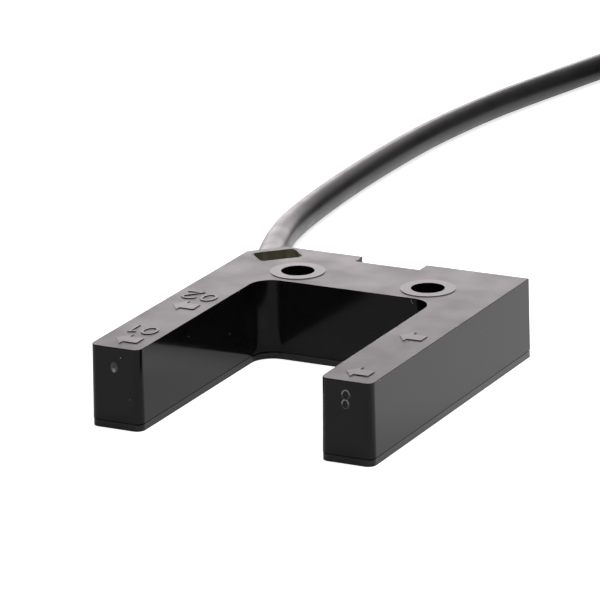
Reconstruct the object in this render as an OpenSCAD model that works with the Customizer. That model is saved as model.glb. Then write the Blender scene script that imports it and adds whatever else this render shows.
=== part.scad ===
// Fork sensor: a slot photoelectric sensor with two light beams and a fixed cable.
// Millimetres. The origin is the middle of the base. The slot opens towards -Y, the
// beams cross it along X, and the cable leaves the cut corner at the back left.

/* [Fork] */
// Clear width of the slot between the arms
slot_w = 25; // [22:0.5:40]
// Depth of the slot, from the arm tips to its back wall
slot_depth = 33; // [30:0.5:45]
// Width of each arm
arm_w = 7; // [6.5:0.1:10]
// Depth of the bridge that joins the arms
bridge_d = 13.7; // [13:0.1:18]
// Height of the case above its cover
case_h = 9.7; // [9.2:0.1:13]
// Radius of the upright edges at the arm tips
tip_r = 1; // [0.4:0.1:2]
// Radius in the two inner corners of the slot
slot_r = 3; // [1:0.1:4]
// Leg of the slanted cut at the back left corner
corner_cut = 3.9; // [3.7:0.1:5]
// Width of the notch in the back edge
notch_w = 9.3; // [4:0.1:10]
// Depth of the notch in the back edge
notch_d = 2.25; // [1:0.05:3]
// Place of the notch to the right of the middle
notch_x = 0.25; // [-1:0.05:1]

/* [Shell] */
// Thickness of the side walls
wall = 1.2; // [0.9:0.05:1.4]
// Thickness of the roof
roof = 1.8; // [1.6:0.05:2.2]
// Thickness of the bottom cover
cover_t = 1; // [0.8:0.1:1.5]
// How far the cover's edge stands in from the case
cover_inset = 0.05; // [0.05:0.05:0.3]
// Height of the shadow gap between the cover and the case
seam_gap = 0.1; // [0.06:0.02:0.2]
// Depth of the shadow gap
seam_depth = 0.25; // [0.1:0.05:0.4]
// Height of the cover's locating lip
lip_h = 0.9; // [0.5:0.1:1.2]
// Thickness of the lip
lip_t = 0.8; // [0.5:0.1:1]
// Play between the cover and the case, all round
cover_play = 0.1; // [0.05:0.05:0.2]

/* [Mounting] */
// Diameter of the two screw holes
hole_d = 4.4; // [3.2:0.1:4.6]
// Distance between the screw holes
hole_pitch = 18.7; // [16:0.1:19.5]
// Distance from the slot's back wall to the screw holes
hole_setback = 4.6; // [4.4:0.1:6]
// Wall of the screw bosses
boss_wall = 1.4; // [1:0.05:1.6]
// Width of the web from each boss to the slot wall
web_w = 3; // [2:0.1:4]
// Outer diameter of the raised ring round each hole
ring_d = 7.2; // [6:0.1:8]
// Height of the raised ring
ring_h = 0.12; // [0.1:0.02:0.5]

/* [Indicator window] */
// Length of the window
window_l = 6.2; // [5:0.1:6.4]
// Width of the window
window_w = 4.25; // [3:0.05:4.4]
// Radius of the window's corners
window_r = 0.9; // [0.5:0.05:1.2]
// Rim between the window and the slanted edge
window_edge = 0.95; // [0.6:0.05:1.2]
// Shift of the window along the slanted edge
window_shift = 0.5; // [-0.5:0.05:0.8]
// Depth of the window's floor below the top
window_recess = 1.25; // [0.8:0.05:1.3]
// Thickness of the window's floor
window_floor = 0.3; // [0.25:0.05:0.35]
// Thickness of the window's side walls
window_wall = 0.15; // [0.15:0.05:0.4]
// Width of the ledge that carries the window
window_ledge = 0.45; // [0.3:0.05:0.7]
// Play between the window and its pocket
window_play = 0.03; // [0.01:0.01:0.1]

/* [Circuit board] */
// Thickness of the board
board_t = 1; // [0.6:0.1:1.2]
// Gap between the board and the walls
board_gap = 0.3; // [0.2:0.05:0.4]
// Height of the pads that hold the board below the roof
pad_h = 0.8; // [0.7:0.05:1]
// Diameter of the pads
pad_d = 1.8; // [1.5:0.1:2.2]
// Diameter of the two locating pins
pin_d = 1.1; // [0.8:0.1:1.3]
// How far the pins stand out below the board
pin_out = 0.5; // [0.2:0.1:1]
// Play between the pins and the board
pin_play = 0.1; // [0.05:0.05:0.15]

/* [Beams] */
// Distance from the arm tips to the first beam
beam_inset = 3; // [2.9:0.1:4]
// Distance between the two beams
beam_pitch = 15; // [8:0.5:16]
// Width of the emitters and receivers along the arm
eye_w = 3; // [2.4:0.1:3.2]
// Thickness of the emitters and receivers
eye_t = 2; // [1.5:0.1:2.2]
// Height of the emitters and receivers
eye_h = 3.6; // [2.4:0.1:4]
// Radius of an emitter's lens
emitter_lens_r = 0.8; // [0.5:0.05:1]
// Radius of a receiver's lens
receiver_lens_r = 1; // [0.5:0.05:1]
// Gap between a lens and the slot wall
lens_gap = 0.2; // [0.1:0.05:0.4]

/* [Cable] */
// Diameter of the cable
cable_d = 4; // [3.6:0.1:4.4]
// Gap between the cable and the board above it
cable_gap = 0.4; // [0.2:0.05:0.6]
// Play between the cable and the bushing
cable_play = 0.05; // [0.02:0.01:0.1]
// Wall of the bushing
bushing_wall = 0.45; // [0.35:0.05:0.6]
// Play between the bushing and the case
bushing_play = 0.03; // [0.01:0.01:0.1]
// Width of the bushing's collar beyond its barrel
collar_rim = 0.25; // [0.15:0.05:0.4]
// Thickness of the bushing's collar
collar_t = 0.8; // [0.5:0.05:1]
// Length of the bushing's tapered nose
nose_l = 0.6; // [0.3:0.05:0.9]
// How far the cable's jacket reaches in past the wall
jacket_in = 0.4; // [0.2:0.05:0.7]
// Diameter of the cores
core_d = 1; // [0.8:0.05:1.1]
// Gap between neighbouring cores at the jacket
core_gap = 0.4; // [0.3:0.05:0.6]
// Radius of the bend that each core makes up to the board
core_bend = 0.8; // [0.65:0.05:0.9]
// Height of the solder joints below the board
solder_h = 0.5; // [0.3:0.05:0.6]

/* [Coil] */
// Radius of the coil to the middle of its turns
coil_r = 24; // [22:0.5:26]
// Number of turns side by side
coil_cols = 3; // [2:1:4]
// Number of turns on top of each other
coil_rows = 4; // [3:1:5]
// Width of the strap round the coil
tie_w = 8; // [4:0.5:12]
// Thickness of the strap
tie_t = 0.8; // [0.5:0.1:1]
// Length of the bare cores at the cable's far end
lead_l = 40; // [20:1:50]
// Diameter of the cores at the far end
lead_d = 1.1; // [0.9:0.05:1.2]
// Gap between the jacket, a bare core and its tinned end
lead_gap = 0.12; // [0.1:0.01:0.2]
// Length of the tinned ends
tip_l = 6; // [3:0.5:8]
// Diameter of the tinned ends
tip_d = 0.7; // [0.5:0.05:0.8]

/* [Hidden] */
$fn = 64;
// Overlap that joins take past a face, and how far cuts run past it
eps = 0.01;
past = 1;

// Overall sizes, and the height of each layer
body_w = slot_w + 2 * arm_w;
body_l = slot_depth + bridge_d;
body_h = cover_t + case_h;
front_y = -body_l / 2;
back_y = body_l / 2;
slot_y = front_y + slot_depth;
ceiling_z = body_h - roof;
board_top = ceiling_z - pad_h;
board_z = board_top - board_t;
arm_x = (slot_w + arm_w) / 2;

// Smallest radius in the corners of the cavity, the board and the lip
inner_r = 0.3;

// Screw bosses
hole_y = slot_y + hole_setback;
boss_d = hole_d + 2 * boss_wall;

// The slanted face: its middle, and the directions out of it and along it
exit_dir = [-sqrt(0.5), sqrt(0.5), 0];
along_dir = [sqrt(0.5), sqrt(0.5), 0];
exit_angle = 135;
along_angle = 45;
cable_z = board_z - cable_gap - cable_d / 2;
exit_point = [-body_w / 2 + corner_cut / 2, back_y - corner_cut / 2, cable_z];

// Window, from its place on the slanted face
window_z = body_h - window_recess - window_floor;
window_c = exit_point - (window_edge + window_w / 2) * exit_dir + window_shift * along_dir;

// Bushing radii, from the cable outwards
bush_r = cable_d / 2 + cable_play;
barrel_r = bush_r + bushing_wall;
collar_r = barrel_r + collar_rim;
nose_rim = 0.3;
nose_r = bush_r + nose_rim;

// Beams: their places along the arms and their height
beam_y = [front_y + beam_inset, front_y + beam_inset + beam_pitch];
beam_z = board_z - eye_h / 2;
wall_x = slot_w / 2 + wall;
pin_y = (beam_y[0] + beam_y[1]) / 2;

// Board pads in the bridge, in line with the bosses and behind them
pad_y = (hole_y + boss_d / 2 + back_y - wall) / 2;

// Cores: their step from the cable's middle, and their straight runs below the board
core_step = (core_d + core_gap) / 2;
near_run = 0.2;
far_run = near_run + core_d + core_gap;
pad_rim = 0.1;

// Small parts under the board: length, width, height
ic_size = [4.9, 3.9, 1.4];
ic_legs = 4;
ic_leg_pitch = 1.27;
transistor_size = [2.9, 1.3, 1];
regulator_size = [4.4, 2.4, 1.5];
diode_size = [4.2, 2.4, 2];
bulk_size = [2.8, 3.5, 1.9];
resistor_size = [0.8, 1.6, 0.45];
capacitor_size = [1.25, 2, 0.85];
led_size = [1.6, 0.8, 0.6];
leg_w = 0.4;
leg_t = 0.15;
leg_reach = 0.6;
package_gap = 0.1;
part_gap = 0.5;
transistor_pitch = 1.9;
regulator_pitch = 1.5;
ic_y = (slot_y + back_y - notch_d) / 2;
row_shift = 1;
row_x = hole_pitch / 2 - row_shift;
led_x = window_l / 5;

// The cable's path outside the case, chosen by hand, and its number of sides
cable_sides = 10;
free_route = [
    [-19.9, 24.1, 4.7], [-21.3, 26.7, 4.4], [-22.4, 29.5, 4.1], [-24.6, 35.4, 3.5],
    [-26.9, 41, 3], [-28.5, 45.1, 2.7], [-31.1, 52.9, 2.3], [-32.5, 59.1, 2.1],
    [-33.4, 65.4, 2], [-34, 72, 2], [-34.5, 79.6, 2], [-34.8, 87.9, 2],
    [-34.9, 97.1, 2], [-34.7, 106.9, 2], [-33.9, 116.8, 2], [-32.7, 126.3, 2],
    [-31, 135.4, 2], [-29.1, 144.1, 2], [-27, 153.6, 2], [-25.7, 158.6, 2]
];
route = concat(
    [for (s = [-wall - jacket_in, 0, collar_t + nose_l]) exit_point + s * exit_dir],
    free_route
);

// The coil, its strap and the cable's end that lies on it
coil_c = [6, 164, 0];
coil_w = coil_cols * cable_d;
coil_h = coil_rows * cable_d;
coil_corner = cable_d / 2;
tie_angle = -60;
tie_arc = tie_w / coil_r * 180 / PI;
lift = 0.05;
end_from = 118;
end_to = 92;
lead_sides = 8;
lead_rings = 12;
lead_step = 0.7;
lead_fan = 2.4;
// Shares of the cores' length where they have fanned out, and where they start and end going down
fan_end = 0.4;
drop_start = 0.1;
drop_end = 0.6;
lead_arc = lead_l / coil_r * 180 / PI;
end_z = coil_h + cable_d / 2 + lift;
lead_z = coil_h + lead_d / 2 + lift;
// Start of each core in the jacket, across and up, in the order of their fan
lead_starts = [[-1, -1], [-1, 1], [1, 1], [1, -1]];

// Flat shapes

// The waste outside the round of a square corner that points to +X and +Y
module corner_waste(r) {
    difference() {
        translate([-r, -r]) square(r + eps);
        translate([-r, -r]) circle(r);
    }
}

// A rectangle about the middle, with round corners
module plate(size, r) {
    corners = [[1, 1], [-1, 1], [-1, -1], [1, -1]];
    difference() {
        square(size, center = true);
        for (k = [0 : 3])
            translate([corners[k].x * size.x / 2, corners[k].y * size.y / 2])
                rotate(k * 90) corner_waste(r);
    }
}

// The slot, drawn in from its walls by inset
module slot_shape(inset) {
    half = slot_w / 2 + inset;
    back = slot_y + inset;
    difference() {
        translate([-half, front_y - past]) square([2 * half, back - front_y + past]);
        translate([half, back]) corner_waste(slot_r + inset);
        translate([-half, back]) rotate(90) corner_waste(slot_r + inset);
    }
}

// The fork's outline, drawn in from its edge by inset
module fork(inset) {
    tip = max(tip_r - inset, inner_r);
    difference() {
        translate([-body_w / 2 + inset, front_y + inset])
            square([body_w - 2 * inset, body_l - 2 * inset]);
        slot_shape(inset);
        translate([exit_point.x, exit_point.y] - inset * [exit_dir.x, exit_dir.y])
            rotate(exit_angle) translate([0, -body_w / 2]) square(body_w);
        translate([notch_x - notch_w / 2 - inset, back_y - notch_d - inset])
            square([notch_w + 2 * inset, notch_d + inset + past]);
        for (side = [-1, 1]) {
            translate([side * (body_w / 2 - inset), front_y + inset])
                rotate(side > 0 ? 270 : 180) corner_waste(tip);
            translate([side * (slot_w / 2 + inset), front_y + inset])
                rotate(side > 0 ? 180 : 270) corner_waste(tip);
        }
    }
}

// The footprint of the webs that join both bosses to the slot wall
module web_shape() {
    for (side = [-1, 1])
        translate([side * hole_pitch / 2 - web_w / 2, slot_y + wall / 2])
            square([web_w, hole_setback - wall / 2]);
}

// The room that the cover's lip and the board leave for the bosses, open to the slot wall
module boss_room(play) {
    for (side = [-1, 1])
        translate([side * hole_pitch / 2, hole_y]) {
            circle(d = boss_d + 2 * play);
            translate([-boss_d / 2 - play, -hole_setback])
                square([boss_d + 2 * play, hole_setback]);
        }
}

// Places

module at_holes() {
    for (side = [-1, 1])
        translate([side * hole_pitch / 2, hole_y, 0]) children();
}

// On the slanted face, with X pointing out of it
module at_exit() {
    translate(exit_point) rotate(exit_angle) children();
}

// Over the window's middle at z = 0, with X along the window
module at_window() {
    translate([window_c.x, window_c.y, 0]) rotate(along_angle) children();
}

// Pads under the roof: at the first beam, between the beams and behind the bosses
module at_pads() {
    for (side = [-1, 1]) {
        for (y = [beam_y[0], pin_y])
            translate([side * arm_x, y, 0]) children();
        translate([side * hole_pitch / 2, pad_y, 0]) children();
    }
}

module at_pins() {
    for (side = [-1, 1])
        translate([side * arm_x, pin_y, 0]) children();
}

// Case and cover

module window_pocket() {
    at_window() {
        translate([0, 0, window_z])
            linear_extrude(window_recess + window_floor + eps)
                plate([window_l, window_w], window_r);
        translate([0, 0, ceiling_z])
            linear_extrude(roof)
                plate([window_l - 2 * window_ledge, window_w - 2 * window_ledge], inner_r);
    }
}

module case() {
    color("#1d1d1f")
        difference() {
            union() {
                difference() {
                    translate([0, 0, cover_t]) linear_extrude(case_h) fork(0);
                    linear_extrude(ceiling_z) fork(wall);
                }
                translate([0, 0, cover_t]) linear_extrude(case_h - roof + eps) web_shape();
                at_holes() cylinder(d = boss_d, h = ceiling_z + eps);
                at_holes() translate([0, 0, body_h - eps]) cylinder(d = ring_d, h = ring_h + eps);
                at_pads() translate([0, 0, board_top]) cylinder(d = pad_d, h = pad_h + eps);
                at_pins() translate([0, 0, board_z - pin_out])
                    cylinder(d = pin_d, h = board_t + pin_out + eps);
            }
            at_holes() translate([0, 0, -past]) cylinder(d = hole_d, h = body_h + ring_h + 2 * past);
            window_pocket();
            at_exit() rotate([0, 90, 0]) translate([0, 0, -wall - past])
                cylinder(r = barrel_r + bushing_play, h = wall + 2 * past);
        }
}

module bottom_cover() {
    color("#232325")
        difference() {
            union() {
                linear_extrude(cover_t - seam_gap) fork(cover_inset);
                linear_extrude(cover_t) fork(cover_inset + seam_depth);
                translate([0, 0, cover_t - eps])
                    linear_extrude(lip_h + eps)
                        difference() {
                            fork(wall + cover_play);
                            fork(wall + cover_play + lip_t);
                            boss_room(cover_play);
                        }
            }
            at_holes() translate([0, 0, -past])
                cylinder(d = boss_d + 2 * cover_play, h = cover_t + 2 * past);
        }
}

module indicator_window() {
    outer = [window_l - 2 * window_play, window_w - 2 * window_play];
    inner = outer - [2 * window_wall, 2 * window_wall];
    color("#4a4728")
        at_window()
            difference() {
                translate([0, 0, window_z])
                    linear_extrude(window_recess + window_floor) plate(outer, window_r);
                translate([0, 0, body_h - window_recess])
                    linear_extrude(window_recess + eps) plate(inner, window_r - window_wall);
            }
}

module cable_bushing() {
    color("#161617")
        at_exit() rotate([0, 90, 0])
            rotate_extrude()
                polygon([
                    [bush_r, -wall], [barrel_r, -wall], [barrel_r, 0], [collar_r, 0],
                    [collar_r, collar_t], [nose_r, collar_t + nose_l], [bush_r, collar_t + nose_l]
                ]);
}

// Board and its parts

module circuit_board() {
    color("#1f5a36")
        translate([0, 0, board_z])
            difference() {
                linear_extrude(board_t)
                    difference() {
                        fork(wall + board_gap);
                        boss_room(board_gap);
                    }
                at_pins() translate([0, 0, -past])
                    cylinder(d = pin_d + 2 * pin_play, h = board_t + 2 * past);
            }
}

// A block under the board, with a round lens that looks towards the slot
module eye(side, y, lens_r) {
    face_x = wall_x + lens_gap + lens_r;
    translate([side * face_x, y, beam_z]) {
        translate([side * eye_t / 2, 0, 0]) cube([eye_t, eye_w, eye_h], center = true);
        sphere(lens_r);
    }
}

module emitter(i) {
    color("#33405c") eye(1, beam_y[i], emitter_lens_r);
}

module receiver(i) {
    color("#1c1824") eye(-1, beam_y[i], receiver_lens_r);
}

module indicator_led(side, tint) {
    color(tint)
        at_window()
            translate([side * led_x, 0, board_top + led_size.z / 2]) cube(led_size, center = true);
}

// A chip that hangs under the board with its middle at x, y
module chip(x, y, size) {
    translate([x - size.x / 2, y - size.y / 2, board_z - size.z]) cube(size);
}

// A package with bent legs, listed as their place along X and the side they are on
module package(x, y, size, legs) {
    drop = package_gap + size.z / 2;
    translate([x, y, board_z]) {
        translate([0, 0, -drop]) cube(size, center = true);
        for (leg = legs)
            translate([leg.x, leg.y * size.y / 2, 0]) {
                translate([-leg_w / 2, leg.y > 0 ? -eps : -leg_reach, -drop])
                    cube([leg_w, leg_reach + eps, leg_t]);
                translate([-leg_w / 2, leg.y > 0 ? leg_reach - leg_t : -leg_reach, -drop])
                    cube([leg_w, leg_t, drop]);
            }
    }
}

module control_ic() {
    legs = [for (i = [0 : ic_legs - 1], side = [-1, 1]) [(i - (ic_legs - 1) / 2) * ic_leg_pitch, side]];
    color("#202024") package(0, ic_y, ic_size, legs);
}

module output_transistor(i) {
    legs = [[-transistor_pitch / 2, -1], [transistor_pitch / 2, -1], [0, 1]];
    x = row_x + i * (transistor_size.x + part_gap);
    color("#26262a") package(x, pad_y, transistor_size, legs);
}

module voltage_regulator() {
    legs = [for (i = [-1 : 1]) [i * regulator_pitch, -1]];
    color("#2a2a2e") package(-row_x, pad_y, regulator_size, legs);
}

// Beside the right boss, in the bridge's right end
module protection_diode() {
    color("#303034") chip(arm_x, slot_y - diode_size.y, [diode_size.y, diode_size.x, diode_size.z]);
}

module bulk_capacitor() {
    color("#b98f3c") chip(arm_x, hole_y, bulk_size);
}

// Three along the back half of each arm
module chip_resistors() {
    color("#3a3a3e")
        for (side = [-1, 1], i = [0 : 2])
            chip(side * arm_x, beam_y[1] + eye_w + i * (resistor_size.y + part_gap), resistor_size);
}

// One beside each end of the control circuit, and one behind the first eye of each arm
module chip_capacitors() {
    beside = ic_size.x / 2 + capacitor_size.x / 2 + part_gap;
    color("#a58a63")
        for (side = [-1, 1]) {
            chip(side * beside, ic_y, capacitor_size);
            chip(side * arm_x, beam_y[0] + eye_w / 2 + capacitor_size.y / 2 + part_gap, capacitor_size);
        }
}

// Cores inside the case: side is left or right in the jacket, and row is 0 for the upper pair

function core_run(row) = row == 0 ? near_run : far_run;

// Distance from the slanted face to the upright part of a core
function core_in(row) = wall + jacket_in + core_run(row) + core_bend;

module core(side, row, tint) {
    z = row == 0 ? core_step : -core_step;
    rise = board_z - solder_h - cable_z - z - core_bend;
    color(tint)
        at_exit() translate([-wall - jacket_in, side * core_step, z]) {
            run = core_run(row);
            translate([-run, 0, 0]) rotate([0, 90, 0]) cylinder(d = core_d, h = run);
            translate([-run, 0, core_bend]) rotate([90, 0, 0]) rotate([0, 0, 180])
                rotate_extrude(angle = 90) translate([core_bend, 0]) circle(d = core_d);
            translate([-run - core_bend, 0, core_bend]) cylinder(d = core_d, h = rise);
        }
}

module solder_joints() {
    color("#b8babd")
        for (side = [-1, 1], row = [0, 1])
            at_exit() translate([-core_in(row), side * core_step, board_z - solder_h - cable_z])
                cylinder(d1 = core_d, d2 = core_d + 2 * pad_rim, h = solder_h);
}

// Cable outside the case

function unit(v) = v / norm(v);
function ahead(p, i) = unit(p[min(i + 1, len(p) - 1)] - p[max(i - 1, 0)]);
function across(t) = unit(cross(t, [0, 0, 1]));

// A round tube through the points p, with a ring of n corners at each
module tube(p, d, n) {
    rings = len(p);
    points = [
        for (i = [0 : rings - 1])
            let (t = ahead(p, i), u = across(t), v = cross(u, t))
                for (k = [0 : n - 1])
                    p[i] + d / 2 * (cos(k * 360 / n) * u + sin(k * 360 / n) * v)
    ];
    sides = [
        for (i = [0 : rings - 2], k = [0 : n - 1])
            [i * n + k, i * n + (k + 1) % n, (i + 1) * n + (k + 1) % n, (i + 1) * n + k]
    ];
    first = [for (k = [0 : n - 1]) n - 1 - k];
    last = [for (k = [0 : n - 1]) (rings - 1) * n + k];
    polyhedron(points, concat(sides, [first, last]));
}

module cable() {
    color("#2b2b2d") tube(route, cable_d, cable_sides);
}

module coil_section(inset) {
    translate([coil_r, coil_h / 2])
        plate([coil_w - 2 * inset, coil_h - 2 * inset], coil_corner - inset);
}

// The band that the strap takes up, on the outside of the coil
module tie_band() {
    rotate(tie_angle)
        rotate_extrude(angle = tie_arc)
            difference() {
                coil_section(0);
                coil_section(tie_t);
            }
}

module cable_coil() {
    color("#2b2b2d")
        translate(coil_c)
            difference() {
                rotate_extrude() coil_section(0);
                tie_band();
            }
}

module coil_tie() {
    color("#1a1a1c") translate(coil_c) tie_band();
}

module cable_end() {
    color("#2b2b2d")
        translate(coil_c + [0, 0, end_z])
            rotate(end_to)
                rotate_extrude(angle = end_from - end_to) translate([coil_r, 0]) circle(d = cable_d);
}

function ease(t) = let (s = min(max(t, 0), 1)) s * s * (3 - 2 * s);
function mix(a, b, t) = a + (b - a) * t;

// A point on a core at the far end: k is the core, t runs from 0 at the jacket to 1
function lead_point(k, t) =
    let (
        angle = end_to - (lead_gap / coil_r * 180 / PI) - t * lead_arc,
        r = coil_r + mix(lead_starts[k].x * lead_step, (k - 1.5) * lead_fan, ease(t / fan_end)),
        drop = ease((t - drop_start) / (drop_end - drop_start)),
        z = mix(end_z + lead_starts[k].y * lead_step, lead_z, drop)
    )
    coil_c + [r * cos(angle), r * sin(angle), z];

module lead(k, tint) {
    color(tint) tube([for (i = [0 : lead_rings]) lead_point(k, i / lead_rings)], lead_d, lead_sides);
}

module tinned_ends() {
    color("#c3c5c8")
        for (k = [0 : 3])
            translate(lead_point(k, 1)) rotate(end_to - lead_arc) rotate([90, 0, 0])
                translate([0, 0, lead_gap]) cylinder(d = tip_d, h = tip_l);
}

case();
bottom_cover();
indicator_window();
cable_bushing();
circuit_board();
emitter(0);  // emitter_1
emitter(1);  // emitter_2
receiver(0);  // receiver_1
receiver(1);  // receiver_2
indicator_led(-1, "#3f7f3a");  // indicator_led_1
indicator_led(1, "#b8702a");  // indicator_led_2
control_ic();
output_transistor(0);  // output_transistor_1
output_transistor(1);  // output_transistor_2
voltage_regulator();
protection_diode();
bulk_capacitor();
chip_resistors();
chip_capacitors();
core(-1, 0, "#6b4023");  // core_brown
core(1, 0, "#23509a");  // core_blue
core(-1, 1, "#1b1b1c");  // core_black
core(1, 1, "#dcdcd8");  // core_white
solder_joints();
cable();
cable_coil();
cable_end();
coil_tie();
lead(0, "#6b4023");  // lead_brown
lead(1, "#23509a");  // lead_blue
lead(2, "#1b1b1c");  // lead_black
lead(3, "#dcdcd8");  // lead_white
tinned_ends();
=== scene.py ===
"""Looks of the fork sensor: a black moulded case on a pale floor, with its cable wound up out of view."""

import math

import bmesh
import bpy
from mathutils import Matrix, Vector


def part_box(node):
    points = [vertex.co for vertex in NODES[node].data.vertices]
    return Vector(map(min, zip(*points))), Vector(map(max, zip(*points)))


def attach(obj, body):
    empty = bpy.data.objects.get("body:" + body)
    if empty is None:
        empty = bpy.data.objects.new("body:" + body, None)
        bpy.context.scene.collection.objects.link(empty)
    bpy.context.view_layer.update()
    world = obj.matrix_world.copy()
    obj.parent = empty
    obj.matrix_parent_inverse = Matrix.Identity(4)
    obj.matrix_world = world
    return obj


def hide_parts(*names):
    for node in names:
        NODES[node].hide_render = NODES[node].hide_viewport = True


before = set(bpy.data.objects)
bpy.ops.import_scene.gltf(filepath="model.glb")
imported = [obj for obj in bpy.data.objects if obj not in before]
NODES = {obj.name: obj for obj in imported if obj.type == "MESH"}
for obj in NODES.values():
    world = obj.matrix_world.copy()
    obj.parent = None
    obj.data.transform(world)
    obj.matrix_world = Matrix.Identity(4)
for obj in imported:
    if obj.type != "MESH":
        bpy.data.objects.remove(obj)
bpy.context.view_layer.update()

MM = 0.001


def mm(x, y, z):
    """A point given in millimetres."""
    return Vector((x, y, z)) * MM


def put(name, data):
    """A new object, placed in the scene."""
    thing = bpy.data.objects.new(name, data)
    bpy.context.scene.collection.objects.link(thing)
    return thing


# Sizes of the case: its box comes from the frame, and the other sizes are those of the part's source

case_low, case_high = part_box("case")
cover_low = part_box("bottom_cover")[0]
RING_MM = 0.12
SEAM_MM = 1.0
SEAM_GAP_MM = 0.1
SLOT_W_MM = 25.0
SLOT_DEPTH_MM = 33.0
TOP = case_high.z - RING_MM * MM
SEAM = SEAM_MM * MM
FRONT_MM = case_low.y / MM
SIDE_MM = case_high.x / MM
HALF_SLOT_MM = SLOT_W_MM / 2
SLOT_BACK_MM = FRONT_MM + SLOT_DEPTH_MM
ARM_MM = (HALF_SLOT_MM + SIDE_MM) / 2
EXIT = mm(-17.55, 21.4, 4.7)
EXIT_DIR = Vector((-math.sqrt(0.5), math.sqrt(0.5), 0))


# Camera, with its angles in degrees

CAMERA_AT = mm(263.465, -521.481, 198.228)
CAMERA_AZIMUTH = 26.9663
CAMERA_ELEVATION = 17.6673
CAMERA_ROLL = -1.0158
SENSOR_MM = 36.0
LENS_MM = 290.4


def make_camera():
    data = bpy.data.cameras.new("camera")
    data.sensor_width = SENSOR_MM
    data.lens = LENS_MM
    camera = put("camera", data)
    turn = (
        Matrix.Rotation(math.radians(CAMERA_AZIMUTH), 4, "Z")
        @ Matrix.Rotation(math.radians(90 - CAMERA_ELEVATION), 4, "X")
        @ Matrix.Rotation(math.radians(CAMERA_ROLL), 4, "Z")
    )
    camera.matrix_world = Matrix.Translation(CAMERA_AT) @ turn
    bpy.context.scene.camera = camera


make_camera()


# Patterns for the materials

GRAIN_DETAIL = 2.0


def tree_of(name):
    """A new material with its node tree, its main shader and its object coordinates."""
    material = bpy.data.materials.new(name)
    material.use_nodes = True
    tree = material.node_tree
    shader = tree.nodes["Principled BSDF"]
    place = tree.nodes.new("ShaderNodeTexCoord").outputs["Object"]
    return material, tree, shader, place


def noise(tree, place, scale, detail=3.0, stretch=(1, 1, 1)):
    """A noise pattern, with scale in features for each metre."""
    mapping = tree.nodes.new("ShaderNodeMapping")
    mapping.inputs["Scale"].default_value = stretch
    tree.links.new(place, mapping.inputs["Vector"])
    node = tree.nodes.new("ShaderNodeTexNoise")
    node.inputs["Scale"].default_value = scale
    node.inputs["Detail"].default_value = detail
    tree.links.new(mapping.outputs["Vector"], node.inputs["Vector"])
    return node.outputs["Fac"]


def spread(tree, value, low, high, start=0.3, end=0.7):
    """Maps a pattern from start..end to low..high."""
    node = tree.nodes.new("ShaderNodeMapRange")
    node.inputs["From Min"].default_value = start
    node.inputs["From Max"].default_value = end
    node.inputs["To Min"].default_value = low
    node.inputs["To Max"].default_value = high
    tree.links.new(value, node.inputs["Value"])
    return node.outputs["Result"]


def maths(tree, operation, first, second):
    """One operation on two values, each a number or a socket."""
    node = tree.nodes.new("ShaderNodeMath")
    node.operation = operation
    for value, socket in zip((first, second), node.inputs):
        if isinstance(value, float):
            socket.default_value = value
        else:
            tree.links.new(value, socket)
    return node.outputs[0]


def blend(tree, value, first, second):
    """Mixes two colours, each a constant or another blend, by a pattern."""
    node = tree.nodes.new("ShaderNodeMix")
    node.data_type = "RGBA"
    for colour, socket in ((first, node.inputs["A"]), (second, node.inputs["B"])):
        if isinstance(colour, tuple):
            socket.default_value = (*colour, 1)
        else:
            tree.links.new(colour, socket)
    tree.links.new(value, node.inputs["Factor"])
    return node.outputs["Result"]


def two_tone(tree, pattern, dark, light):
    """A colour that goes from dark to light with a pattern."""
    return blend(tree, spread(tree, pattern, 0, 1), dark, light)


def bump(tree, shader, height, depth):
    """Makes a pattern stand out by a depth in metres."""
    node = tree.nodes.new("ShaderNodeBump")
    node.inputs["Strength"].default_value = 1.0
    node.inputs["Distance"].default_value = depth
    tree.links.new(height, node.inputs["Height"])
    tree.links.new(node.outputs["Normal"], shader.inputs["Normal"])


# Plastics

def grey(level):
    return (level, level, level)


def moulded(name, dark, light, rough, grain, depth, mottle=260.0, ior=1.45):
    """A moulded plastic: two tones in soft patches, a range of roughness, and a fine grain."""
    material, tree, shader, place = tree_of(name)
    patches = noise(tree, place, mottle)
    tree.links.new(two_tone(tree, patches, dark, light), shader.inputs["Base Color"])
    tree.links.new(spread(tree, patches, *rough), shader.inputs["Roughness"])
    shader.inputs["IOR"].default_value = ior
    bump(tree, shader, noise(tree, place, grain, GRAIN_DETAIL), depth)
    return material


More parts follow.
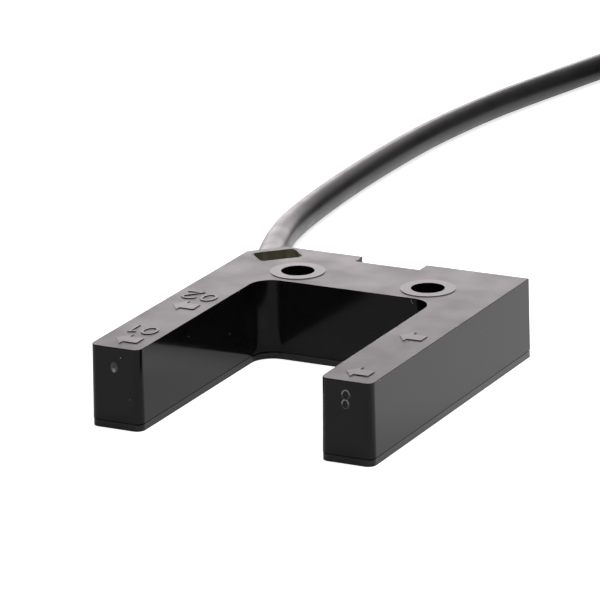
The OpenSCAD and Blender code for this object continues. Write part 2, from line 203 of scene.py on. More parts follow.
MATERIALS = {
    "side": moulded(
        "case_polished", dark=grey(0.0035), light=grey(0.005),
        rough=(0.07, 0.1), grain=900, depth=2e-7, ior=1.29,
    ),
    # The side plastic with a lower IOR on the slot's back wall: painted shade, as the floor that it mirrors
    # lies in the arms' shadow
    "slot": moulded(
        "case_slot_back_painted_shade", dark=grey(0.0035), light=grey(0.005),
        rough=(0.09, 0.12), grain=900, depth=2e-7, ior=1.23,
    ),
    "top": moulded(
        "case_textured", dark=(0.011, 0.0105, 0.0105), light=(0.015, 0.0145, 0.0145),
        rough=(0.278, 0.38), grain=5500, depth=5e-6, mottle=220, ior=1.6,
    ),
    "raised": moulded(
        "case_raised", dark=grey(0.012), light=grey(0.015),
        rough=(0.278, 0.288), grain=900, depth=1e-7, mottle=400, ior=1.78,
    ),
    "cover": moulded(
        "cover_plastic", dark=grey(0.005), light=grey(0.007),
        rough=(0.12, 0.16), grain=3000, depth=5e-7, ior=1.36,
    ),
    # Painted sheen: a paler grey than the case, on the left gate spot and on the sides of the upper ring
    # halves
    "gate": moulded(
        "case_gate_painted_sheen", dark=(0.035, 0.035, 0.038), light=(0.07, 0.07, 0.077),
        rough=(0.5, 0.62), grain=3500, depth=2e-5, mottle=1500,
    ),
    # The lower halves of the right rings, darker than their upper halves: painted shade
    "nub": moulded(
        "case_gate_nub", dark=grey(0.012), light=grey(0.02),
        rough=(0.2, 0.28), grain=3500, depth=1e-5, mottle=1500, ior=1.5,
    ),
    # Pale grey for the wear flecks, and also a painted glint on the gate bead and on the crowns of the upper
    # ring halves
    "fleck_and_glint": moulded(
        "wear_and_glint_pale", dark=(0.17, 0.17, 0.178), light=(0.26, 0.26, 0.272),
        rough=(0.5, 0.65), grain=4000, depth=5e-6, mottle=1500,
    ),
    "bushing": moulded(
        "bushing_rubber", dark=grey(0.008), light=grey(0.013),
        rough=(0.6, 0.75), grain=4000, depth=8e-6,
    ),
    "jacket": moulded(
        "jacket_vinyl", dark=(0.018, 0.018, 0.0187), light=(0.026, 0.026, 0.027),
        rough=(0.32, 0.4), grain=1500, depth=4e-6, ior=1.33,
    ),
    "board": moulded(
        "board_mask", dark=(0.015, 0.09, 0.04), light=(0.025, 0.13, 0.06),
        rough=(0.3, 0.4), grain=2500, depth=5e-6,
    ),
    "emitter": moulded(
        "emitter_resin", dark=(0.04, 0.07, 0.15), light=(0.06, 0.1, 0.2),
        rough=(0.08, 0.15), grain=1500, depth=1e-6,
    ),
    "receiver": moulded(
        "receiver_resin", dark=(0.015, 0.01, 0.025), light=(0.025, 0.018, 0.04),
        rough=(0.08, 0.15), grain=1500, depth=1e-6,
    ),
    "led_green": moulded(
        "led_green_resin", dark=(0.3, 0.5, 0.26), light=(0.4, 0.6, 0.34),
        rough=(0.2, 0.3), grain=2500, depth=2e-6,
    ),
    "led_orange": moulded(
        "led_orange_resin", dark=(0.62, 0.3, 0.08), light=(0.78, 0.4, 0.12),
        rough=(0.2, 0.3), grain=2500, depth=2e-6,
    ),
    "package": moulded(
        "package_compound", dark=(0.015, 0.015, 0.017), light=(0.025, 0.025, 0.028),
        rough=(0.55, 0.7), grain=6000, depth=6e-6,
    ),
    "tantalum": moulded(
        "tantalum_compound", dark=(0.45, 0.25, 0.05), light=(0.55, 0.31, 0.07),
        rough=(0.45, 0.6), grain=6000, depth=6e-6,
    ),
    "resistor": moulded(
        "resistor_glaze", dark=(0.02, 0.02, 0.025), light=(0.04, 0.04, 0.045),
        rough=(0.25, 0.4), grain=6000, depth=4e-6,
    ),
    "ceramic": moulded(
        "capacitor_ceramic", dark=(0.3, 0.21, 0.12), light=(0.4, 0.29, 0.16),
        rough=(0.5, 0.65), grain=6000, depth=4e-6,
    ),
}

# Each core's dark and light tone
CORE_TONES = {
    "brown": ((0.12, 0.045, 0.016), (0.17, 0.065, 0.024)),
    "blue": ((0.016, 0.07, 0.28), (0.024, 0.095, 0.36)),
    "black": ((0.01, 0.01, 0.011), (0.016, 0.016, 0.017)),
    "white": ((0.66, 0.66, 0.63), (0.76, 0.76, 0.73)),
}
for colour, tones in CORE_TONES.items():
    MATERIALS[f"core_{colour}"] = moulded(
        f"core_{colour}_vinyl", *tones, rough=(0.35, 0.45), grain=3000, depth=4e-6
    )


# Tinned metal, woven strap and olive window

TIN_TONES = ((0.52, 0.53, 0.54), (0.7, 0.71, 0.72))
TIN_ROUGH = (0.22, 0.4)
TIN_PATCHES = 2500
TIN_DEPTH = 2e-5
WEAVE_TONES = ((0.006, 0.006, 0.007), (0.024, 0.024, 0.026))
WEAVE_ROUGH = 0.85
WEAVE_SCALE = 420
WEAVE_WOBBLE = 1.5
WEAVE_DEPTH = 1.2e-4
BASE_OLIVE = ((0.07, 0.068, 0.045), (0.165, 0.155, 0.095))
# Painted light: the lighter olive that the window turns to towards its right end, and the shares of its
# length over which it does
PAINTED_LIGHT_OLIVE = ((0.16, 0.15, 0.095), (0.3, 0.28, 0.17))
PAINTED_LIGHT_SHARES = (0.45, 0.7)
BAND_SCALE = 700
BAND_DETAIL = 1.0
BAND_STRETCH = (1, 1, 0.08)
WINDOW_ROUGH = (0.2, 0.3)
WINDOW_GRAIN = 2500
WINDOW_DEPTH = 1e-6


def make_tin():
    material, tree, shader, place = tree_of("solder_tin")
    shader.inputs["Metallic"].default_value = 1.0
    patches = noise(tree, place, TIN_PATCHES)
    tree.links.new(two_tone(tree, patches, *TIN_TONES), shader.inputs["Base Color"])
    tree.links.new(spread(tree, patches, *TIN_ROUGH), shader.inputs["Roughness"])
    bump(tree, shader, patches, TIN_DEPTH)
    return material


def make_webbing():
    """Woven strap: two crossed waves make the weave."""
    material, tree, shader, place = tree_of("strap_weave")
    waves = []
    for direction in ("X", "Z"):
        wave = tree.nodes.new("ShaderNodeTexWave")
        wave.bands_direction = direction
        wave.inputs["Scale"].default_value = WEAVE_SCALE
        wave.inputs["Distortion"].default_value = WEAVE_WOBBLE
        tree.links.new(place, wave.inputs["Vector"])
        waves.append(wave.outputs["Fac"])
    weave = maths(tree, "MULTIPLY", *waves)
    tree.links.new(blend(tree, weave, *WEAVE_TONES), shader.inputs["Base Color"])
    shader.inputs["Roughness"].default_value = WEAVE_ROUGH
    bump(tree, shader, weave, WEAVE_DEPTH)
    return material


def make_window():
    """Olive resin in upright bands of light and dark tone, with painted light that makes it lighter towards
    the right end.
    """
    material, tree, shader, place = tree_of("window_olive")
    bands = noise(tree, place, BAND_SCALE, BAND_DETAIL, BAND_STRETCH)
    along = tree.nodes.new("ShaderNodeSeparateXYZ")
    tree.links.new(place, along.inputs[0])
    low, high = (corner.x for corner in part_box("indicator_window"))
    start, end = (low + share * (high - low) for share in PAINTED_LIGHT_SHARES)
    dull = two_tone(tree, bands, *BASE_OLIVE)
    # Painted light: clear is the lighter olive of the right end
    clear = two_tone(tree, bands, *PAINTED_LIGHT_OLIVE)
    base = blend(tree, spread(tree, along.outputs["X"], 0, 1, start, end), dull, clear)
    tree.links.new(base, shader.inputs["Base Color"])
    tree.links.new(spread(tree, bands, *WINDOW_ROUGH), shader.inputs["Roughness"])
    bump(tree, shader, noise(tree, place, WINDOW_GRAIN, GRAIN_DETAIL), WINDOW_DEPTH)
    return material


MATERIALS["window"] = make_window()
MATERIALS["solder"] = make_tin()
MATERIALS["strap"] = make_webbing()


# Pieces in general

CORNER = math.radians(40)
TUBE_ROUNDING = 5


def finish_piece(piece, slot, *replaced):
    """The lines that every piece needs: its body, and the nodes that it stands for. Its slot is not used."""
    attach(piece, "root")
    if replaced:
        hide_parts(*replaced)
    return piece


def mesh_piece(name, bm, materials):
    """A new object from a bmesh, smooth apart from its sharp edges."""
    mesh = bpy.data.meshes.new(name)
    bmesh.ops.recalc_face_normals(bm, faces=bm.faces)
    bm.to_mesh(mesh)
    bm.free()
    for key in materials:
        mesh.materials.append(MATERIALS[key])
    mesh.shade_smooth()
    mesh.set_sharp_from_angle(angle=CORNER)
    piece = put(name, mesh)
    flats = piece.modifiers.new("flat_faces", "WEIGHTED_NORMAL")
    flats.keep_sharp = True
    return piece


def curve_piece(name, points, diameter, material, steps):
    """A round tube along one smooth open spline, with a number of steps between two points."""
    data = bpy.data.curves.new(name, "CURVE")
    data.dimensions = "3D"
    data.bevel_depth = diameter / 2
    data.bevel_resolution = TUBE_ROUNDING
    data.resolution_u = steps
    data.use_fill_caps = True
    spline = data.splines.new("BEZIER")
    spline.bezier_points.add(len(points) - 1)
    for knot, point in zip(spline.bezier_points, points):
        knot.co = point
        knot.handle_left_type = knot.handle_right_type = "AUTO"
    data.materials.append(MATERIALS[material])
    return put(name, data)


def skin(bm, rings, closed=False):
    """Faces from each ring of corners to the next, and from the last to the first where closed."""
    faces = []
    count = len(rings[0])
    for low, high in zip(rings, rings[1:] + rings[:1] if closed else rings[1:]):
        for k in range(count):
            after = (k + 1) % count
            faces.append(bm.faces.new((low[k], low[after], high[after], high[k])))
    return faces


def ease(t):
    """Goes softly from 0 to 1 as t does."""
    t = min(max(t, 0.0), 1.0)
    return t * t * (3 - 2 * t)


def mix(a, b, t):
    return a + (b - a) * t


# Cable, in millimetres and degrees, with its whole length in metres

CABLE_MM = 4.0
CABLE_STEPS = 4
JACKET_IN = 1.6
COLLAR_OUT = 1.4
FREE_ROUTE = [
    (-19.9, 24.1, 4.7), (-21.3, 26.7, 4.4), (-22.4, 29.5, 4.1), (-24.6, 35.4, 3.5),
    (-26.9, 41, 3), (-28.5, 45.1, 2.7), (-31.1, 52.9, 2.3), (-32.5, 59.1, 2.1),
    (-33.4, 65.4, 2), (-34, 72, 2), (-34.5, 79.6, 2), (-34.8, 87.9, 2),
    (-34.9, 97.1, 2), (-34.7, 106.9, 2), (-33.9, 116.8, 2), (-32.7, 126.3, 2),
    (-31, 135.4, 2), (-29.1, 144.1, 2), (-27, 153.6, 2), (-25.7, 158.6, 2),
]
ONTO_COIL = [(-24.1, 164.1, 2)]
COIL_AT = (6.0, 164.0)
COIL_R = 24.0
COIL_COLUMNS = 3
COIL_ROWS = 4
COIL_HALF_W = COIL_COLUMNS * CABLE_MM / 2
COIL_HALF_H = COIL_ROWS * CABLE_MM / 2
COIL_START = 156.0
TURN_POINTS = 30
SHIFT_FROM = 0.86
REST_GAP = 0.05
TIE_ANGLE = -60.0
TIE_WIDTH = 8.0
TIE_ARC = math.degrees(TIE_WIDTH / COIL_R)
TIE_MM = 0.8
# A turn lies free again this many widths of the strap from the strap's middle
HELD_WIDTHS = 1.6
END_FROM = 118.0
END_TO = 92.0
END_Z = COIL_ROWS * CABLE_MM + CABLE_MM / 2 + REST_GAP
END_POINTS = 8


def on_coil(angle, r, z):
    """A point of the coil in metres, from degrees and millimetres."""
    a = math.radians(angle)
    return mm(COIL_AT[0] + r * math.cos(a), COIL_AT[1] + r * math.sin(a), z)


def under_strap(angle, r, z):
    """Draws a turn in where the strap holds the coil, and lets it out again beside the strap."""
    middle = TIE_ANGLE + TIE_ARC / 2
    off = abs((angle - middle + 180) % 360 - 180)
    held = ease(HELD_WIDTHS - off / TIE_ARC)
    r = COIL_R + (r - COIL_R) * (1 - held * TIE_MM / COIL_HALF_W)
    z = COIL_HALF_H + (z - COIL_HALF_H) * (1 - held * TIE_MM / COIL_HALF_H)
    return r, z


def coil_turns():
    """The middle of each turn as radius and height, wound from outside in and back out, row by row."""
    radii = [COIL_R + (c - (COIL_COLUMNS - 1) / 2) * CABLE_MM for c in range(COIL_COLUMNS)]
    turns = []
    for row in range(COIL_ROWS):
        for r in radii if row % 2 else reversed(radii):
            turns.append((r, (row + 0.5) * CABLE_MM))
    return turns


def turn_points():
    """Points round the coil, where each turn shifts at its end to the place of the next."""
    turns = coil_turns()
    points = []
    for (r, z), (next_r, next_z) in zip(turns, turns[1:] + turns[-1:]):
        for k in range(TURN_POINTS):
            share = k / TURN_POINTS
            shift = ease((share - SHIFT_FROM) / (1 - SHIFT_FROM))
            angle = COIL_START - 360 * share
            place = under_strap(angle, mix(r, next_r, shift), mix(z, next_z, shift))
            points.append(on_coil(angle, *place))
    return points


def end_points():
    """Points of the cable's end, which climbs onto the coil."""
    r, z = coil_turns()[-1]
    points = []
    for k in range(END_POINTS + 1):
        angle = mix(COIL_START, END_TO, k / END_POINTS)
        rise = ease((COIL_START - angle) / (COIL_START - END_FROM))
        points.append(on_coil(angle, mix(r, COIL_R, rise), mix(z, END_Z, rise)))
    return points


def cable_points():
    """The cable's route: out of its bushing, along listed points, round the coil, and up onto it."""
    points = [EXIT + s * MM * EXIT_DIR for s in (-JACKET_IN, 0, COLLAR_OUT)]
    points += [mm(*p) for p in FREE_ROUTE + ONTO_COIL]
    return points + turn_points() + end_points()


cable = curve_piece("cable_jacket", cable_points(), CABLE_MM * MM, "jacket", CABLE_STEPS)
finish_piece(cable, "jacket", "cable", "cable_coil", "cable_end")


# Bare cores at the cable's far end, in millimetres; each leaves the jacket at its corner of a square

LEADS = {"brown": (-1, -1), "blue": (-1, 1), "black": (1, 1), "white": (1, -1)}
LEAD_MM = 1.1
LEAD_LENGTH = 40.0
LEAD_ARC = math.degrees(LEAD_LENGTH / COIL_R)
LEAD_GAP = 0.12
LEAD_POINTS = 16
LEAD_STEPS = 6
LEAD_OFFSET = 0.7
LEAD_FAN = 2.4
FAN_END = 0.4
DROP_START = 0.1
DROP_END = 0.6
LEAD_Z = COIL_ROWS * CABLE_MM + LEAD_MM / 2 + REST_GAP
TIP_MM = 0.7
TIP_LENGTH = 6.0
TIP_RINGS = 24
TIP_TURNS = 1.2
TIP_TAPER = 0.35
TAPER_FROM = 0.9
TIP_STRANDS = 7
STRAND_CORNERS = 6
STRAND_DEPTH = 0.07


def lead_point(k, corner, t):
    """A point of core k at a share t of its length: the cores fan out and sink onto the coil."""
    angle = END_TO - math.degrees(LEAD_GAP / COIL_R) - t * LEAD_ARC
    fan = (k - (len(LEADS) - 1) / 2) * LEAD_FAN
    r = COIL_R + mix(corner[0] * LEAD_OFFSET, fan, ease(t / FAN_END))
    drop = ease((t - DROP_START) / (DROP_END - DROP_START))
    return on_coil(angle, r, mix(END_Z + corner[1] * LEAD_OFFSET, LEAD_Z, drop))


def twisted_tip(bm, start, direction):
    """Tinned strands, twisted: a lobed section that turns along the tip and narrows at its end."""
    side = direction.cross(Vector((0, 0, 1))).normalized()
    up = side.cross(direction)
    corners = TIP_STRANDS * STRAND_CORNERS
    rings = []
    for i in range(TIP_RINGS + 1):
        share = i / TIP_RINGS
        twist = 2 * math.pi * TIP_TURNS * share
        narrow = 1 - TIP_TAPER * ease((share - TAPER_FROM) / (1 - TAPER_FROM))
        centre = start + direction * (LEAD_GAP + share * TIP_LENGTH) * MM
        ring = []
        for k in range(corners):
            a = 2 * math.pi * k / corners
            lobe = 1 - STRAND_DEPTH * (1 - math.cos(TIP_STRANDS * (a - twist)))
            reach = TIP_MM / 2 * MM * lobe * narrow
            ring.append(bm.verts.new(centre + reach * (math.cos(a) * side + math.sin(a) * up)))
        rings.append(ring)
    skin(bm, rings)
    bm.faces.new(rings[0])
    bm.faces.new(rings[-1])


def make_leads():
    """The four cores and, as one more piece, their tinned tips."""
    pieces = []
    tips = bmesh.new()
    last = math.radians(END_TO - LEAD_ARC)
    onwards = Vector((math.sin(last), -math.cos(last), 0))
    for k, (colour, corner) in enumerate(LEADS.items()):
        points = [lead_point(k, corner, i / LEAD_POINTS) for i in range(LEAD_POINTS + 1)]
        lead = curve_piece(f"bare_core_{colour}", points, LEAD_MM * MM, f"core_{colour}", LEAD_STEPS)
        pieces.append(finish_piece(lead, f"core_{colour}", f"lead_{colour}"))
        twisted_tip(tips, points[-1], onwards)
    tinned = finish_piece(mesh_piece("tinned_strands", tips, ["solder"]), "solder", "tinned_ends")
    return pieces, tinned


leads, tinned = make_leads()


# Strap round the coil, in millimetres

STRAP_STEPS = 10
STRAP_CORNER_POINTS = 6
STRAP_EDGE = 0.12
# Each corner's way across and up, and the angle where its round starts
STRAP_CORNERS = ((1, 1, 0), (-1, 1, 90), (-1, -1, 180), (1, -1, 270))


def strap_loop(inset):
    """The outline of the coil's section with round corners, drawn in by inset, as radius and height."""
    corner = CABLE_MM / 2 - inset
    across = COIL_HALF_W - inset - corner
    up = COIL_HALF_H - inset - corner
    loop = []
    for sx, sz, first in STRAP_CORNERS:
        for k in range(STRAP_CORNER_POINTS + 1):
            a = math.radians(first + 90 * k / STRAP_CORNER_POINTS)
            r = COIL_R + sx * across + corner * math.cos(a)
            z = COIL_HALF_H + sz * up + corner * math.sin(a)
            loop.append((r, z))
    return loop


def make_strap():
    """A flat band with broken edges that follows the coil's section, outside and inside."""
    edge = math.degrees(STRAP_EDGE / COIL_R)
    inner = TIE_MM - REST_GAP
    columns = [(TIE_ANGLE, inner), (TIE_ANGLE, STRAP_EDGE)]
    for k in range(STRAP_STEPS + 1):
        columns.append((TIE_ANGLE + edge + (TIE_ARC - 2 * edge) * k / STRAP_STEPS, 0.0))
    columns += [(TIE_ANGLE + TIE_ARC, STRAP_EDGE), (TIE_ANGLE + TIE_ARC, inner)]
    bm = bmesh.new()
    rings = []
    for angle, inset in columns:
        rings.append([bm.verts.new(on_coil(angle, r, z)) for r, z in strap_loop(inset)])
    skin(bm, rings, closed=True)
    return finish_piece(mesh_piece("coil_strap", bm, ["strap"]), "strap", "coil_tie")


strap = make_strap()


# Moulded shells: copies of the solids, with broken edges on all but the window

WELD = 1e-6
FLAT = math.radians(0.3)
LEVEL = 1e-5
LEVEL_FACE = 0.9999
FACES_UP = 0.9
NEAR_TOP_MM = 0.1
DRAFT_MM = 0.12
RING_SEEN_MM = 0.07
SLOT_FACING = 0.2
MITRE_LEAST = 0.6
UPRIGHT_BREAK_MM = 0.1
BROW_BREAK_MM = 0.05
CASE_SEGMENTS = 3
BUSHING_BREAK_MM = 0.08
COVER_BREAK_MM = 0.02
CASE_FINISHES = ["side", "top", "raised", "slot"]
TUB_FINISHES = ["window", "top"]


def solid_copy(node):
    """A solid's mesh with each flat face made whole."""
    bm = bmesh.new()
    bm.from_mesh(NODES[node].data)
    bmesh.ops.remove_doubles(bm, verts=bm.verts, dist=WELD)
    bmesh.ops.dissolve_limit(bm, angle_limit=FLAT, verts=bm.verts, edges=bm.edges)
    return bm


def levels(face):
    return [v.co.z for v in face.verts]


def at(value, level):
    return abs(value - level) < LEVEL


def sharp(edge):
    """True on an outward edge between two faces that meet at an angle."""
    return len(edge.link_faces) == 2 and edge.calc_face_angle_signed() > CORNER


def outer_wall(face):
    """True on a side wall of the case, from the seam up to the top."""
    z = levels(face)
    return at(min(z), SEAM) and at(max(z), TOP)


def flange_wall(face):
    """True on the cover's outer wall, from the floor up to the shadow gap."""
    z = levels(face)
    return at(min(z), cover_low.z) and at(max(z), SEAM - SEAM_GAP_MM * MM)


def slot_back(face):
    """True on the wall at the back of the slot and its round corners, not on the corners of the arm ends."""
    middle = face.calc_center_median()
    in_slot = abs(middle.x) < HALF_SLOT_MM * MM and 0 < middle.y < SLOT_BACK_MM * MM + LEVEL
    return in_slot and face.normal.y < -SLOT_FACING


def upright(edge):
    """True on a sharp edge that runs from the seam up to the top."""
    low, high = sorted(v.co.z for v in edge.verts)
    return at(low, SEAM) and at(high, TOP) and sharp(edge)


def brow(edge):
    """True on the top's outer edge."""
    on_top = all(at(v.co.z, TOP) for v in edge.verts)
    return on_top and sharp(edge) and any(outer_wall(f) for f in edge.link_faces)


def break_kind(bm, kind, width, segments=2, clamped=True):
    """Rounds the edges of one kind over a width in millimetres."""
    bm.normal_update()
    edges = [e for e in bm.edges if kind(e)]
    bmesh.ops.bevel(
        bm, geom=edges, offset=width * MM, segments=segments, profile=0.5,
        affect="EDGES", clamp_overlap=clamped,
    )


def draft(z):
    """How far a wall leans out at a height, both in metres."""
    return DRAFT_MM * MM * (TOP - z) / TOP


def lean(bm, wall):
    """Gives the walls the mould's draft: their foot moves out, and their top stays."""
    bm.normal_update()
    ways = {}
    for face in filter(wall, bm.faces):
        for vert in face.verts:
            ways.setdefault(vert, []).append(face.normal.copy())
    for vert, normals in ways.items():
        way = sum(normals, Vector()).normalized()
        vert.co += way / max(way.dot(normals[0]), MITRE_LEAST) * draft(vert.co.z)


def press_rings(bm):
    """Lowers the flat rings round the holes to the height that they seem to have."""
    for vert in bm.verts:
        if vert.co.z > TOP + LEVEL:
            vert.co.z = TOP + RING_SEEN_MM * MM


def paint(bm, finishes, finish_of):
    """Gives each face its finish, by its place in a list."""
    bm.normal_update()
    for face in bm.faces:
        face.material_index = finishes.index(finish_of(face))


def case_finish(face):
    """The finish of a face of the case."""
    lowest = min(levels(face))
    # The slot's back wall takes the shaded copy of the side plastic: painted shade
    if slot_back(face):
        return "slot"
    if face.normal.z <= FACES_UP or lowest <= TOP - NEAR_TOP_MM * MM:
        return "side"
    return "raised" if lowest > TOP + LEVEL else "top"


def tub_finish(face):
    """The finish of a face of the window, whose rim is like the top around it."""
    return "top" if face.normal.z > FACES_UP and at(min(levels(face)), TOP) else "window"


def make_case():
    """The case, with its level faces shaded flat to the edge, so that the rings stay even."""
    bm = solid_copy("case")
    press_rings(bm)
    lean(bm, outer_wall)
    break_kind(bm, upright, UPRIGHT_BREAK_MM, CASE_SEGMENTS, clamped=False)
    break_kind(bm, brow, BROW_BREAK_MM, CASE_SEGMENTS, clamped=False)
    paint(bm, CASE_FINISHES, case_finish)
    piece = mesh_piece("case_shell", bm, CASE_FINISHES)
    for face in piece.data.polygons:
        face.use_smooth = abs(face.normal.z) < LEVEL_FACE
    return finish_piece(piece, "case", "case")


def make_bushing():
    bm = solid_copy("cable_bushing")
    break_kind(bm, sharp, BUSHING_BREAK_MM)
    return finish_piece(mesh_piece("bushing_sleeve", bm, ["bushing"]), "bushing", "cable_bushing")


def make_cover():
    bm = solid_copy("bottom_cover")
    lean(bm, flange_wall)
    break_kind(bm, sharp, COVER_BREAK_MM)
    return finish_piece(mesh_piece("cover_plate", bm, ["cover"]), "cover", "bottom_cover")


def make_tub():
    bm = solid_copy("indicator_window")
    paint(bm, TUB_FINISHES, tub_finish)
    return finish_piece(mesh_piece("window_tub", bm, TUB_FINISHES), "window", "indicator_window")


make_case()
make_bushing()
make_cover()
make_tub()


# Raised marks: each face of the case turns two places on it and a stand-off, all in millimetres, into a point

SINK_MM = 0.02
SLOT_SIDE_MM = -HALF_SLOT_MM
DOME_POINTS = 20
DOME_RINGS = 5
# Of the four sides round a stroke's section, the one that faces out
CROWN_SIDE = 1


def top_at(u, v, out):
    return mm(u, v, TOP / MM + out)


def on_wall(v, out):
    """A stand-off from a wall, which leans, at a height."""
    return draft(v * MM) / MM + out


def end_at(u, v, out):
    return mm(u, FRONT_MM - on_wall(v, out), v)


def side_at(u, v, out):
    return mm(SIDE_MM + on_wall(v, out), u, v)


def slot_side_at(u, v, out):
    return mm(SLOT_SIDE_MM + on_wall(v, out), u, v)


def slot_back_at(u, v, out):
    return mm(u, SLOT_BACK_MM - on_wall(v, out), v)


def lift(height, share):
    """How far a point of a mark stands off its face, from its sunk foot (0) to its top (1)."""
    return share * (height + SINK_MM) - SINK_MM


def prism(bm, face_at, outline, height):
    """A flat raised sign with upright sides; its top takes the second material."""
    foot = [bm.verts.new(face_at(u, v, lift(height, 0))) for u, v in outline]
    head = [bm.verts.new(face_at(u, v, lift(height, 1))) for u, v in outline]
    skin(bm, [foot, head])
    bm.faces.new(head).material_index = 1
    bm.faces.new(foot)


def sideways(before, after):
    """The direction across a stroke at a corner, lengthened so that the stroke keeps its width."""
    first = Vector((-before.y, before.x)).normalized()
    second = Vector((-after.y, after.x)).normalized()
    middle = (first + second).normalized()
    return middle / max(middle.dot(first), MITRE_LEAST)


def stroke(bm, face_at, path, closed, foot, head, height, finish=(0, 1)):
    """A raised stroke along a path, with half widths foot and head, and materials for its sides and top."""
    points = [Vector(p) for p in path]
    count = len(points)
    section = ((-foot, 0), (-head, 1), (head, 1), (foot, 0))
    rings = []
    for k, point in enumerate(points):
        before = point - points[k - 1] if closed or k else points[1] - point
        after = points[(k + 1) % count] - point if closed or k < count - 1 else before
        side = sideways(before, after)
        places = [(point + half * side, lift(height, share)) for half, share in section]
        rings.append([bm.verts.new(face_at(*place, out)) for place, out in places])
    sides, crown = finish
    for i, face in enumerate(skin(bm, rings, closed)):
        face.material_index = crown if i % len(section) == CROWN_SIDE else sides
    if not closed:
        bm.faces.new(rings[0])
        bm.faces.new(rings[-1])


def dome(bm, face_at, u, v, half_u, half_v, height, material=0):
    """A round swelling on a face."""
    rings = []
    for i in range(DOME_RINGS):
        a = math.pi / 2 * i / DOME_RINGS
        ring = []
        for k in range(DOME_POINTS):
            b = 2 * math.pi * k / DOME_POINTS
            place = (u + half_u * math.cos(a) * math.cos(b), v + half_v * math.cos(a) * math.sin(b))
            ring.append(bm.verts.new(face_at(*place, lift(height, math.sin(a)))))
        rings.append(ring)
    ends = [bm.faces.new(rings[0]), bm.faces.new(rings[-1])]
    for face in ends + skin(bm, rings):
        face.material_index = material


# Signs moulded on the top: an arrow along each beam on both arms, and a number behind each on the left arm

SIGN_MM = 0.08
ARROW_Y = (-19.85, -4.8)
ARROW = [
    (-1.57, 0), (-0.15, -1.88), (-0.15, -0.97), (1.81, -0.97),
    (1.81, 0.97), (-0.15, 0.97), (-0.15, 1.88),
]
STROKE_FOOT = 0.2
STROKE_TOP = 0.15
ROUND_POINTS = 20
ZERO_HALF_W = 0.87
ZERO_HALF_H = 1.27
ROUND = [2 * math.pi * k / ROUND_POINTS for k in range(ROUND_POINTS)]
ZERO = [(ZERO_HALF_W * math.cos(a), ZERO_HALF_H * math.sin(a)) for a in ROUND]
ONE = [(-0.75, 0.95), (0, 1.35), (0, -1.35)]
TWO = [
    (-0.98, 0.7), (-0.85, 1.12), (-0.5, 1.36), (0, 1.42), (0.45, 1.32), (0.75, 1.02), (0.75, 0.6), (0.5, 0.2),
    (-0.98, -1.35), (1.05, -1.35),
]
# Each digit's path, whether it is closed, and its place
DIGITS = [
    (ZERO, True, -15.0, -15.75), (ONE, False, -17.35, -15.55),
    (ZERO, True, -14.6, -0.65), (TWO, False, -17.3, -0.4),
]


def make_signs():
    """The numbers are turned round, to be read from the back."""
    bm = bmesh.new()
    for arm in (-ARM_MM, ARM_MM):
        for y in ARROW_Y:
            prism(bm, top_at, [(arm + dx, y + dy) for dx, dy in ARROW], SIGN_MM)
    for path, closed, x, y in DIGITS:
        stroke(bm, top_at, [(x - u, y - v) for u, v in path], closed, STROKE_FOOT, STROKE_TOP, SIGN_MM)
    return finish_piece(mesh_piece("top_signs", bm, ["side", "raised"]), "case")


make_signs()


# Gate marks on the arm ends: a spot with a bead on the left, two rings of a ridge on the right, coloured with
# painted highlights and painted shade

# Each mark's place across and up, its half width and half height, and the height of the spot and the bead
GATE_SPOT = (-16.05, 8.1, 0.52, 0.74, 0.1)
GATE_BEAD = (-16.07, 7.78, 0.3, 0.36, 0.14)
GATE_RINGS = [(16.05, 8.92, 0.5, 0.58), (15.98, 7.72, 0.44, 0.56)]
RING_STEPS = 14
RIDGE_FOOT = 0.15
RIDGE_TOP = 0.08
RIDGE_MM = 0.09
GATE_FINISHES = ["gate", "fleck_and_glint", "nub"]
PAINTED_GLINT = GATE_FINISHES.index("fleck_and_glint")
SHADED_HALF = (GATE_FINISHES.index("nub"),) * 2


def half_ring(x, z, half_w, half_h, way):
    """The upper (1) or lower (-1) half of an ellipse on an end face."""
    turns = [math.pi * k / RING_STEPS for k in range(RING_STEPS + 1)]
    return [(x + half_w * math.cos(a), z + way * half_h * math.sin(a)) for a in turns]


def make_gate_marks():
    bm = bmesh.new()
    # The spot's paler grey is a painted sheen, and the bead's pale grey is a painted glint
    dome(bm, end_at, *GATE_SPOT)
    dome(bm, end_at, *GATE_BEAD, material=PAINTED_GLINT)
    for ring in GATE_RINGS:
        # Upper halves: paler sides and a pale crown as painted highlight; lower halves: darker all over as
        # painted shade
        stroke(bm, end_at, half_ring(*ring, 1), False, RIDGE_FOOT, RIDGE_TOP, RIDGE_MM)
        stroke(bm, end_at, half_ring(*ring, -1), False, RIDGE_FOOT, RIDGE_TOP, RIDGE_MM, SHADED_HALF)
    return finish_piece(mesh_piece("gate_marks", bm, GATE_FINISHES), "case")


make_gate_marks()


# Wear: pale flecks on the faces and along edges, each with its place and half width, and one short scratch

FLECK_MM = 0.03
FLECKS = [
    (side_at, 8.61, 7.78, 0.09), (side_at, 10.07, 7.96, 0.1), (side_at, 12.18, 7.11, 0.09),
    (side_at, 0.96, 10.58, 0.1), (side_at, -6.7, 10.44, 0.08), (side_at, -12.17, 10.58, 0.09),
    (side_at, -20.94, 10.5, 0.1), (slot_side_at, -10.29, 8.68, 0.07), (slot_side_at, 0.8, 5.69, 0.07),
    (slot_side_at, 3.68, 10.58, 0.09), (end_at, -15.08, 9.45, 0.1), (end_at, -13.93, 4.14, 0.05),
]
SCRATCH = [(9.13, 10.5), (9.2, 10.2), (9.41, 9.95)]
SCRATCH_FOOT = 0.06
SCRATCH_TOP = 0.03
PLAIN = (0, 0)


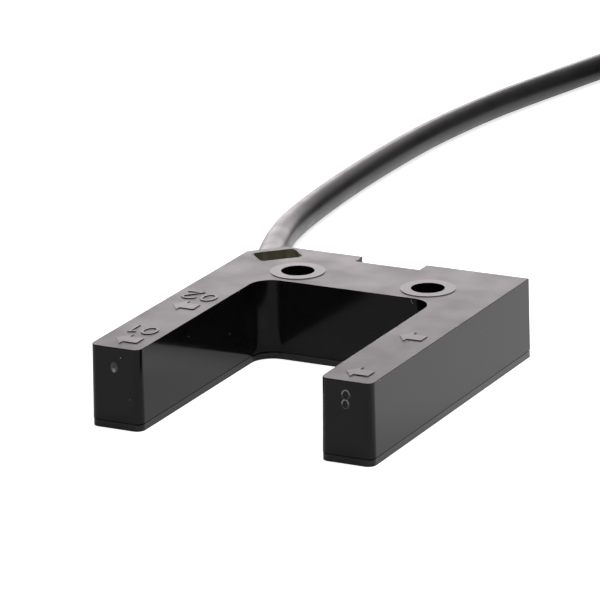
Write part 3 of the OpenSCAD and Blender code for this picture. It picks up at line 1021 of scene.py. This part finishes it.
def make_wear():
    bm = bmesh.new()
    for face_at, u, v, half in FLECKS:
        dome(bm, face_at, u, v, half, half, FLECK_MM)
    stroke(bm, slot_back_at, SCRATCH, False, SCRATCH_FOOT, SCRATCH_TOP, FLECK_MM, PLAIN)
    return finish_piece(mesh_piece("wear_flecks", bm, ["fleck_and_glint"]), "case")


make_wear()


# Pieces inside the case keep their solids

INNER = {
    "circuit_board": "board", "emitter_1": "emitter", "emitter_2": "emitter",
    "receiver_1": "receiver", "receiver_2": "receiver",
    "indicator_led_1": "led_green", "indicator_led_2": "led_orange", "control_ic": "package",
    "output_transistor_1": "package", "output_transistor_2": "package", "voltage_regulator": "package",
    "protection_diode": "package", "bulk_capacitor": "tantalum", "chip_resistors": "resistor",
    "chip_capacitors": "ceramic", "core_brown": "core_brown", "core_blue": "core_blue",
    "core_black": "core_black", "core_white": "core_white", "solder_joints": "solder",
}
for node, key in INNER.items():
    mesh = NODES[node].data
    mesh.materials.clear()
    mesh.materials.append(MATERIALS[key])


# Floor, in metres

FLOOR_SIZE = 4.0
FLOOR_GAP = 2e-5
FLOOR_COLOUR = grey(0.86)
CAMERA_GLOW = 0.78
# Painted shade and light in mirrors: the paper's mirrored glow from the front to the back right
MIRRORED_NEAR = 0.22
MIRRORED_FAR = 0.74
SWEEP_WAY = (math.sqrt(0.5), math.sqrt(0.5), 0)
SWEEP_FROM = -0.005
SWEEP_TO = 0.02


def paper_glow(tree):
    """How strongly the paper glows: evenly to the camera, and in mirrors with painted shade in front and
    painted light towards the back right.
    """
    place = tree.nodes.new("ShaderNodeTexCoord")
    along = tree.nodes.new("ShaderNodeVectorMath")
    along.operation = "DOT_PRODUCT"
    along.inputs[1].default_value = SWEEP_WAY
    tree.links.new(place.outputs["Object"], along.inputs[0])
    # Painted shade and painted light: the glow that mirrors see grows towards the back right
    painted_sweep = spread(tree, along.outputs["Value"], MIRRORED_NEAR, MIRRORED_FAR, SWEEP_FROM, SWEEP_TO)
    rays = tree.nodes.new("ShaderNodeLightPath").outputs
    mirrored = maths(tree, "MAXIMUM", rays["Is Glossy Ray"], rays["Is Transmission Ray"])
    seen = maths(tree, "MULTIPLY", rays["Is Camera Ray"], CAMERA_GLOW)
    return maths(tree, "ADD", seen, maths(tree, "MULTIPLY", mirrored, painted_sweep))


def make_paper():
    """White paper that glows where the camera, metal or glass sees it, with painted light and shade in what
    metal and glass mirror.
    """
    material = bpy.data.materials.new("floor_paper")
    material.use_nodes = True
    tree = material.node_tree
    tree.nodes.clear()
    paper = tree.nodes.new("ShaderNodeBsdfDiffuse")
    paper.inputs["Color"].default_value = (*FLOOR_COLOUR, 1)
    glow = tree.nodes.new("ShaderNodeEmission")
    tree.links.new(paper_glow(tree), glow.inputs["Strength"])
    total = tree.nodes.new("ShaderNodeAddShader")
    tree.links.new(paper.outputs[0], total.inputs[0])
    tree.links.new(glow.outputs[0], total.inputs[1])
    out = tree.nodes.new("ShaderNodeOutputMaterial")
    tree.links.new(total.outputs[0], out.inputs["Surface"])
    return material


def make_floor():
    bm = bmesh.new()
    bmesh.ops.create_grid(bm, x_segments=1, y_segments=1, size=FLOOR_SIZE / 2)
    mesh = bpy.data.meshes.new("floor")
    bm.to_mesh(mesh)
    bm.free()
    mesh.materials.append(make_paper())
    floor = put("floor", mesh)
    floor.location.z = -FLOOR_GAP


# Light, in metres and watts

WORLD_LEVEL = 0.13
WHITE = grey(1)
MIDDLE = (0, 0, 0)


def area_light(name, place, towards, size, power, colour=WHITE):
    data = bpy.data.lights.new(name, "AREA")
    data.shape = "RECTANGLE"
    data.size, data.size_y = size
    data.energy = power
    data.color = colour
    light = put(name, data)
    light.location = place
    light.rotation_euler = (Vector(towards) - Vector(place)).to_track_quat("-Z", "Y").to_euler()


def make_world():
    """A dim surround, and white where the camera looks past the floor."""
    world = bpy.data.worlds.new("studio")
    world.use_nodes = True
    tree = world.node_tree
    rays = tree.nodes.new("ShaderNodeLightPath")
    level = spread(tree, rays.outputs["Is Camera Ray"], WORLD_LEVEL, 1.0, 0.0, 1.0)
    tree.links.new(level, tree.nodes["Background"].inputs["Strength"])
    bpy.context.scene.world = world


make_floor()
make_world()
area_light("key_softbox", place=(0.25, 0.35, 1.15), towards=MIDDLE, size=(0.8, 0.8), power=10)
area_light("front_fill", place=(0.15, -0.75, 0.75), towards=MIDDLE, size=(0.7, 0.7), power=4)
area_light(
    "low_card", place=(-0.21, 0.405, 0.08), towards=(0, 0, 0.08), size=(0.4, 0.15), power=0.81,
    colour=(1.0, 0.93, 0.955),
)

bpy.context.scene.view_settings.view_transform = "Standard"
